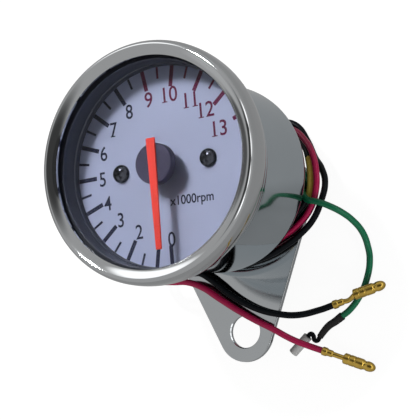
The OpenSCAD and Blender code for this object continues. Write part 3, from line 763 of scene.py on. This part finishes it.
# %% Pointer and cap
POINTER_W, TIP_W, POINTER_EDGE = 2.6, 1.65, 0.14
CAP_T, HUB_R = 2.9, 1.7
pointer_low, pointer_top = heights("pointer")
low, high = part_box("pointer")
tip_y = (low.y - GAUGE.y) / MM
tail_y = (high.y - GAUGE.y) / MM
bm = bmesh.new()
outline = [(-POINTER_W / 2, tail_y), (-TIP_W / 2, tip_y), (TIP_W / 2, tip_y),
           (POINTER_W / 2, tail_y)]
bm.faces.new([bm.verts.new((x * MM, y * MM, pointer_low * MM)) for x, y in outline])
extrude(bm, pointer_top - pointer_low)
soften(bm, bm.edges[:], POINTER_EDGE, 3)
pointer = keep(bm, "pointer_bar", pointer_red)
cap_low, cap_top = heights("pointer_cap")
cap_r = radius("pointer_cap")
cap_under = cap_top - CAP_T
cap = lathe("pointer_hub", [
    (0, cap_top), (cap_r, cap_top, 0.35), (cap_r, cap_under, 0.25), (HUB_R, cap_under),
    (HUB_R, cap_low), (0, cap_low)], cap_plastic, steps=96)
declare(pointer, "pointer", "needle")
declare(cap, "pointer_cap", "needle")
print("pointer from", round(tail_y, 2), "to", round(tip_y, 2))

# %% [markdown]
# The bracket is one flat triangular plate with round corners and a bolt hole at its tip. Its outline
# is the hull of three circles. The plate is extruded, its rims are rounded, and the hole is cut.

# %% Bracket
TIP_R, CORNER_R, CORNER_X, CORNER_Y = 8.4, 9.2, 15.2, -5.0
RIM_R, CHAMFER, OVERSHOOT = 0.3, 0.25, 1
hole = next(m for m in frame["record"]["mounts"] if m["name"] == "bracket_hole")
hole_centre = Vector((*hole["pos_m"][:2], 0))
hole_r = hole["dims"]["r_mm"]
plate_low, plate_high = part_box("bracket")
plate_t = (plate_high.z - plate_low.z) / MM


def circle_points(centre, r, count=96):
    angles = [math.tau * i / count for i in range(count)]
    return [(centre[0] + r * math.cos(a), centre[1] + r * math.sin(a)) for a in angles]


tip = (0, hole_centre.y / MM)
corner_y = GAUGE.y / MM + CORNER_Y
cloud = (circle_points(tip, TIP_R) + circle_points((-CORNER_X, corner_y), CORNER_R)
         + circle_points((CORNER_X, corner_y), CORNER_R))
bm = bmesh.new()
bm.faces.new([bm.verts.new((cloud[i][0] * MM, cloud[i][1] * MM, plate_low.z))
              for i in convex_hull_2d([Vector(p) for p in cloud])])
extrude(bm, plate_t)
soften(bm, [e for e in bm.edges if abs(e.verts[0].co.z - e.verts[1].co.z) < 1e-7], RIM_R, 4)
bracket = keep(bm, "bracket_plate", soft_chrome, Vector())
wide_r = hole_r + CHAMFER + OVERSHOOT
cut(bracket, lathe("hole_cutter", [
    (0, -OVERSHOOT), (wide_r, -OVERSHOOT), (hole_r, CHAMFER), (hole_r, plate_t - CHAMFER),
    (wide_r, plate_t + OVERSHOOT), (0, plate_t + OVERSHOOT)], chrome,
    hole_centre + Vector((0, 0, plate_low.z)), steps=96))
declare(bracket, "bracket")
print("bracket thickness", round(plate_t, 2), "hole", hole_r)

# %% [markdown]
# Each stud carries a thick rubber washer over the plate, and a flat washer, a spring washer and a
# hexagon nut under it. A nut is a six-sided prism whose corners are taken down by a cone, which a
# turned cutter does in one pass.

# %% Studs and nuts
STUD_R, STUD_HEAD_R, STUD_HEAD_H = 2.5, 4.0, 2.0
THREADS, THREAD_LOW, THREAD_STEP, THREAD_DEPTH = 14, 0.5, 0.4, 0.18
NUT_FLATS, NUT_CONE = 8.0, 0.5
SIDES = ("left", -1), ("right", 1)
stud_low, stud_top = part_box("mounting_studs")
nut_low, nut_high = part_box("nuts")
stud_x = (stud_top.x - stud_low.x) / 2 / MM - STUD_HEAD_R
stud_y = (nut_low.y + nut_high.y) / 2
stud_h = (stud_top.z - stud_low.z) / MM - STUD_HEAD_H
nut_h = (nut_high.z - nut_low.z) / MM
nut_r = NUT_FLATS / math.sqrt(3)
face_r, bore_r, sink_r = NUT_FLATS / 2 - 0.1, STUD_R + 0.02, STUD_R + 0.35
threads = [(STUD_R - (THREAD_DEPTH if i % 2 else 0), THREAD_LOW + THREAD_STEP * i)
           for i in range(THREADS)]
nut_section = [
    (face_r, 0), (nut_r + 0.1, NUT_CONE), (nut_r + 0.1, nut_h - NUT_CONE), (face_r, nut_h),
    (sink_r, nut_h), (bore_r, nut_h - 0.35), (bore_r, 0.35), (sink_r, 0)]


def on_stud(side, height):
    """A place on the stud of one side, at a height in metres."""
    return Vector((side * stud_x * MM, stud_y, height))


for label, side in SIDES:
    stud = lathe("stud_" + label, [(0, 0), (STUD_R - 0.45, 0)] + threads
                 + [(STUD_R, stud_h), (0, stud_h)], zinc, on_stud(side, stud_low.z), steps=48)
    bm = bmesh.new()
    turn_z(bm, bmesh.ops.create_circle(bm, cap_ends=True, segments=6,
                                       radius=nut_r * MM)["verts"], 30)
    extrude(bm, nut_h)
    at_nut = on_stud(side, nut_low.z)
    nut = keep(bm, "nut_" + label, zinc, at_nut)
    cut(nut, lathe("nut_cutter", nut_section, zinc, at_nut, steps=64), "INTERSECT")
    for piece, node in ((stud, "mounting_studs"), (nut, "nuts")):
        declare(piece, node if label == "left" else None)
print("studs at", round(stud_x, 2), round(stud_y / MM, 2))

# %% Rubber washers
rubber_low, rubber_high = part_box("rubber_washers")
washer_r = (rubber_high.y - rubber_low.y) / 2 / MM
thick = (rubber_high.z - rubber_low.z) / MM
for label, side in SIDES:
    washer = lathe("rubber_washer_" + label, [
        (STUD_R + 0.2, 0), (washer_r, 0, 0.5), (washer_r, thick, 0.5), (STUD_R + 0.2, thick)],
        rubber, on_stud(side, rubber_low.z), steps=64)
    declare(washer, "rubber_washers" if label == "left" else None)
print("rubber washers", round(thick, 2), "thick")

# %% [markdown]
# The cable boot is a rubber plug in the cup's back, with a flat outlet on one side that the leads
# leave by. It is a ribbed lathe and a rounded block, and the gauge stands on it and on its studs.

# %% Cable boot
BOOT_R, BOOT_NECK_R = 5.5, 3.5
RIBS, RIB_LOW, RIB_STEP = 4, 5.4, 1.6
OUTLET_W, OUTLET_H, OUTLET_SHIFT, OUTLET_EDGE = 6.4, 4.5, 0.95, 0.5
boot_low, boot_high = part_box("cable_boot")
boot_y = boot_high.y - BOOT_R * MM
boot_h = (GAUGE.z + cup_back * MM - boot_low.z) / MM
ribs = []
for i in range(RIBS):
    z = RIB_LOW + RIB_STEP * i
    ribs += [(BOOT_R, z, 0.2), (BOOT_R - 0.4, z + 0.2, 0.15), (BOOT_R - 0.4, z + 0.6, 0.15),
             (BOOT_R, z + 0.8, 0.2)]
boot = lathe("boot_body", [(0, 0), (BOOT_R, 0, 0.5)] + ribs + [
    (BOOT_R, boot_h - 0.02, 0.3), (BOOT_NECK_R, boot_h - 0.02), (BOOT_NECK_R, boot_h + 2),
    (0, boot_h + 2)], rubber, Vector((0, boot_y, boot_low.z)), steps=96)
bm = bmesh.new()
outlet_l = boot_high.x / MM
block(bm, (outlet_l, OUTLET_W, OUTLET_H), (outlet_l / 2, boot_y / MM + OUTLET_SHIFT, OUTLET_H / 2))
soften(bm, bm.edges[:], OUTLET_EDGE, 4)
outlet = keep(bm, "boot_outlet", rubber, Vector((0, 0, boot_low.z)))
declare(boot, "cable_boot")
declare(outlet)
print("boot height", round(boot_h, 2))

# %% [markdown]
# Each bullet plug is a turned brass barrel with two rings, a catch groove and a rounded nose, then a
# thin neck and a crimp closed over the lead. A straight plug is one lathe, laid along the lead's
# last stretch. The black lead's plug is bent at its neck, so a short tube joins two lathes there.

# %% Bullet plugs
BULLET_R, BULLET_L = 1.5, 9.2
CRIMP_R, CRIMP_L = 1.2, 3.2
NECK_R, NECK_L = 0.7, BULLET_L / 3
RINGS_AT, RING_W, RING_DEPTH = (1.4, 3.1), 0.5, 0.12
GROOVE_AT, GROOVE_DEPTH, NOSE_L = 0.6 * BULLET_L, 0.3, 2.0


def laid_along(start, way):
    """Lays a lathe's own axis, +Z, from a point in millimetres along a direction."""
    turned = way.normalized().to_track_quat("Z", "Y").to_matrix().to_4x4()
    return Matrix.Translation(start * MM) @ turned


def barrel(z):
    """The barrel's outline from a height on."""
    groove, nose_r = z + GROOVE_AT, BULLET_R - RING_DEPTH
    corners = [(BULLET_R - 0.25, z), (BULLET_R, z + 0.25)]
    for ring in RINGS_AT:
        corners += [(BULLET_R, z + ring, 0.1), (nose_r, z + ring + RING_W / 2, 0.1),
                    (BULLET_R, z + ring + RING_W, 0.1)]
    corners += [(BULLET_R, groove, 0.2), (BULLET_R - GROOVE_DEPTH, groove + 0.5, 0.2),
                (BULLET_R - GROOVE_DEPTH, groove + 0.8, 0.2), (nose_r, groove + 1.3, 0.2)]
    return corners + arc((0, z + BULLET_L - NOSE_L), nose_r, NOSE_L, 0, 90, 10)


def crimp():
    """The crimp's outline: rolled over the covering, pinched where it grips the wire."""
    return [(0, 0), (CRIMP_R - 0.15, 0), (CRIMP_R, 0.15, 0.1), (CRIMP_R, 1.3, 0.2),
            (CRIMP_R - 0.25, 1.6, 0.1), (CRIMP_R - 0.25, CRIMP_L - 0.3, 0.2),
            (NECK_R, CRIMP_L, 0.05)]


def turned_piece(name, corners, matrix, material=gold):
    """A lathe that a matrix lays in its place."""
    piece = lathe(name, corners, material, Vector(), steps=48)
    piece.data.transform(matrix)
    return piece


def straight_bullet(name, route):
    end, back = Vector(route[-1]), CRIMP_L + NECK_L
    return turned_piece(name, crimp() + [(NECK_R, back)] + barrel(back),
                        laid_along(end, end - Vector(route[-2])))


red_bullet = straight_bullet("red_bullet", RED_ROUTE)
striped_bullet = straight_bullet("striped_bullet", STRIPED_ROUTE)
BENT_FROM, BENT_TO = Vector((31.6, -26.6, 3.9)), Vector((40.2, -24.6, 1.8))
end = Vector(BLACK_ROUTE[-1])
onward = end - Vector(BLACK_ROUTE[-2])
neck_start = end + CRIMP_L * onward.normalized()
black_crimp = turned_piece("black_crimp", crimp() + [(0, CRIMP_L + 0.1)], laid_along(end, onward))
black_barrel = turned_piece("black_barrel", [(0, 0)] + barrel(0),
                            laid_along(BENT_FROM, BENT_TO - BENT_FROM))
black_neck = tube("black_neck", [
    neck_start - 0.3 * onward.normalized(), neck_start + Vector((1.2, 0.1, -0.3)),
    BENT_FROM + Vector((0.3, 0.07, -0.07))], 2 * NECK_R, gold)
print("bullet length", round(CRIMP_L + NECK_L + BULLET_L, 2))

# %% [markdown]
# The green lead ends in a shrunk black sleeve, a short bare tail that hooks back, and a loose clear
# sleeve. They are small tubes on the same helper, and the clear one is a ring spun along its axis.
# Its finish is pale and opaque.

# %% Green lead's end
SLEEVE_ROUTE = [(26.4, -31.5, 1.3), (24.3, -32.7, 1.4), (22.1, -33.7, 1.4), (20.4, -35, 1.3),
                (19, -36.4, 1.3)]
TAIL_ROUTE = [(19, -36.4, 1.3), (18.1, -37.3, 1.3), (17.2, -36.9, 1.2), (17, -35.9, 1.1),
              (16.4, -35.2, 1.2), (15.4, -35.8, 1.3), (14.4, -36.6, 1.3)]
SHRUNK_D, SHRUNK_END, SLEEVE_D, TAIL_D = 2.35, 0.75, 2.6, 1.3
CLEAR_FROM, CLEAR_TO = Vector((15.4, -35.8, 1.3)), Vector((10.4, -39.8, 1.3))
black_sleeve = tube("black_sleeve", SLEEVE_ROUTE, SHRUNK_D, rubber, SHRUNK_END)
hooked_tail = tube("hooked_tail", TAIL_ROUTE, TAIL_D, black_pvc)
milky = finish("milky_sleeve", (0.95, 0.96, 0.95), 0.3, 0, (300, 0.06))
clear_way = CLEAR_TO - CLEAR_FROM
sleeve_l, sleeve_bore = clear_way.length, TAIL_D / 2 + 0.05
clear_sleeve = turned_piece("clear_sleeve", [
    (sleeve_bore, 0), (SLEEVE_D / 2, 0, 0.1), (SLEEVE_D / 2, sleeve_l, 0.1),
    (sleeve_bore, sleeve_l)], laid_along(CLEAR_FROM, clear_way), milky)
print("clear sleeve", round(sleeve_l, 2), "mm long")

# %% [markdown]
# Each lead gets its finish and replaces its CAD tube, and each piece on its end replaces its own CAD
# node. They ride on the case, because the boot holds them there.

# %% Leads and their ends put in place
LEADS = (
    (red_lead, RED_ROUTE, red_pvc, "lead_red", "red_pvc", [(red_bullet, "bullet_red", "gold_plate")]),
    (black_lead, BLACK_ROUTE, black_pvc, "lead_black", "black_pvc",
     [(black_crimp, "bullet_black", "gold_plate"), (black_neck, None, "gold_plate"),
      (black_barrel, None, "gold_plate")]),
    (green_lead, GREEN_ROUTE, green_pvc, "lead_green", "green_pvc",
     [(black_sleeve, "green_sleeve", "sleeve_black"), (hooked_tail, "green_tail", "sleeve_black"),
      (clear_sleeve, "tail_sleeve", "clear_sleeve")]),
    (striped_lead, STRIPED_ROUTE, striped_pvc, "lead_striped", "black_pvc",
     [(striped_bullet, "bullet_striped", "gold_plate")]),
)
for piece, route, material, node, slot, ends in LEADS:
    piece.data.materials.append(material)
    declare(piece, node)
    for end_piece, end_node, end_slot in ends:
        declare(end_piece, end_node)
print("cords declared", len(LEADS))

# %% [markdown]
# The pieces inside the case, and the small washers, keep their CAD shapes. They still get their own
# finishes, because they show when the case is opened or seen from below.

# %% Finishes of the CAD nodes that stay
SLOT_FINISHES = {
    "chrome": chrome, "zinc_steel": zinc, "glass": glass, "black_rubber": rubber,
    "navy_plastic": navy_plastic, "dial_print": dial_white, "black_steel": black_steel,
    "pointer_red": pointer_red, "cap_grey": cap_plastic, "gold_plate": gold,
    "black_pvc": black_pvc, "red_pvc": red_pvc, "green_pvc": green_pvc,
    "sleeve_black": rubber, "clear_sleeve": milky,
}
INNER_FINISHES = {
    "white_plastic": ((0.8, 0.79, 0.74), 0.45, 0, (200, 0.05)),
    "brass": ((0.72, 0.5, 0.2), 0.3, 1, (500, 0.15)),
    "steel": ((0.5, 0.5, 0.52), 0.3, 1, (500, 0.12)),
    "magnet": ((0.06, 0.06, 0.065), 0.5, 0.5, (600, 0.2), (2500, 0.5)),
    "copper": ((0.6, 0.22, 0.08), 0.3, 1, (800, 0.2), (6000, 0.8)),
    "black_plastic": ((0.02, 0.02, 0.022), 0.45, 0, (400, 0.2)),
    "board_green": ((0.01, 0.12, 0.04), 0.25, 0, (700, 0.3)),
    "capacitor_sleeve": ((0.02, 0.04, 0.16), 0.3, 0, (500, 0.15)),
    "trimmer_blue": ((0.02, 0.12, 0.45), 0.35, 0, (500, 0.1)),
    "resistor_beige": ((0.55, 0.42, 0.22), 0.4, 0, (500, 0.15)),
    "lamp": ((0.85, 0.85, 0.72), 0.2, 0, (500, 0.05)),
}
for name, values in INNER_FINISHES.items():
    SLOT_FINISHES[name] = finish(name, *values)
node_slots = {row["node"]: row["material_slot"] for row in frame["record"]["subparts"]}
for node, piece in frame["nodes"].items():
    piece.data.materials.clear()
    piece.data.materials.append(SLOT_FINISHES[node_slots[node]])
print("CAD nodes finished", len(node_slots))

# %% [markdown]
# The stage is a wide pale floor and two square lamps: a key high on the dial's 12 o'clock side, whose
# shadows fall as they do in the photograph, and a weak fill from the lower right. The floor and the
# sky look white to the camera and through glass, and grey in metal. Chrome shows only what it
# mirrors, so the sky has brighter and darker soft boxes that nothing but metal sees.

# %% Stage
WHITE = (1, 1, 1, 1)
FLOOR_SIZE = 2.0
FLOOR_GREY = 0.22
FLOOR_LIFT = 0.93
FLOOR_IN_METAL = 0.24
AMBIENT = 0.21
SKY_IN_METAL = 0.48
LEAST_IN_METAL = 0.04
LAMP_DISTANCE = 1.1
# direction, inner and outer angle in degrees, and how much brighter or darker metal sees it
SOFT_BOXES = (
    ((-0.46, 0.75, 0.47), 11, 20, 1.25), ((-0.86, -0.10, 0.50), 7, 16, 0.1),
    ((0.75, 0.49, 0.43), 5, 12, 1.5), ((0.855, 0.16, 0.49), 5, 12, 1.5),
    ((0.83, -0.19, 0.52), 5, 12, 1.5), ((0.69, -0.51, 0.51), 5, 12, 1.5),
    ((0.93, 0.16, 0.33), 7, 15, 0.2), ((0.36, 0.04, 0.93), 15, 38, -0.42),
    ((0.76, 0.04, 0.65), 15, 25, -0.42), ((-0.97, 0.20, 0.16), 9, 18, -0.36),
)


def seen_rays(tree, in_metal):
    """1 for what is seen straight or through glass, in_metal for what is mirrored, else 0."""
    path = tree.nodes.new("ShaderNodeLightPath")
    straight = math_node(tree, "ADD", path.outputs["Is Camera Ray"],
                         path.outputs["Is Transmission Ray"])
    mirrored = math_node(tree, "MULTIPLY", path.outputs["Is Glossy Ray"], in_metal)
    either = math_node(tree, "MAXIMUM", math_node(tree, "MINIMUM", straight, 1.0), mirrored)
    not_as_light = math_node(tree, "LESS_THAN", path.outputs["Diffuse Depth"], 0.5)
    return math_node(tree, "MULTIPLY", either, not_as_light)


def floor_finish():
    material, tree, shader = new_material("floor_white")
    set_inputs(shader, Base_Color=(FLOOR_GREY, FLOOR_GREY, FLOOR_GREY, 1), Roughness=0.8,
               Emission_Color=WHITE)
    lift = math_node(tree, "MULTIPLY", seen_rays(tree, FLOOR_IN_METAL), FLOOR_LIFT)
    tree.links.new(lift, shader.inputs["Emission Strength"])
    return material


bm = bmesh.new()
bmesh.ops.create_grid(bm, x_segments=1, y_segments=1, size=FLOOR_SIZE)
floor = keep(bm, "floor", floor_finish(), Vector(), smooth=False)
floor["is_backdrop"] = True

world = bpy.data.worlds.new("studio")
bpy.context.scene.world = world
world.use_nodes = True
tree = world.node_tree
background = tree.nodes["Background"]
set_inputs(background, Color=WHITE)
in_metal = SKY_IN_METAL
way = tree.nodes.new("ShaderNodeTexCoord").outputs["Generated"]
for toward, inner, outer, change in SOFT_BOXES:
    dot = tree.nodes.new("ShaderNodeVectorMath")
    dot.operation = "DOT_PRODUCT"
    tree.links.new(way, dot.inputs[0])
    dot.inputs[1].default_value = Vector(toward).normalized()
    edge = tree.nodes.new("ShaderNodeMapRange")
    edge.interpolation_type = "SMOOTHSTEP"
    set_inputs(edge, From_Min=math.cos(math.radians(outer)), From_Max=math.cos(math.radians(inner)))
    tree.links.new(dot.outputs["Value"], edge.inputs["Value"])
    in_metal = math_node(tree, "ADD", in_metal,
                         math_node(tree, "MULTIPLY", edge.outputs[0], change))
in_metal = math_node(tree, "MAXIMUM", in_metal, LEAST_IN_METAL)
no_mirror = math_node(tree, "SUBTRACT", 1.0,
                      tree.nodes.new("ShaderNodeLightPath").outputs["Is Glossy Ray"])
strength = math_node(tree, "MAXIMUM", seen_rays(tree, in_metal),
                     math_node(tree, "MULTIPLY", no_mirror, AMBIENT))
tree.links.new(strength, background.inputs["Strength"])


def lamp(name, toward, size, power, mirrored=True):
    """A square area lamp that shines at the dial from a direction."""
    light = bpy.data.lights.new(name, "AREA")
    light.size = size
    light.energy = power
    holder = add_object(name, light)
    way = Vector(toward).normalized()
    holder.location = GAUGE + way * LAMP_DISTANCE
    holder.rotation_mode = "QUATERNION"
    holder.rotation_quaternion = way.to_track_quat("Z", "Y")
    holder.visible_glossy = mirrored


lamp("key", (-0.27, 0.66, 1), 0.12, 4.6)
lamp("fill", (0.75, -0.6, 0.2), 0.3, 2.5, mirrored=False)
bpy.context.scene.view_settings.view_transform = "Standard"
print("stage set")

# %% [markdown]
# Last, the sizes: the visual model's box, without the floor, is printed in millimetres.

# %% Sizes and finish
low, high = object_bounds()
print("visual box mm", [round(v / MM, 2) for v in (*low, *high)])
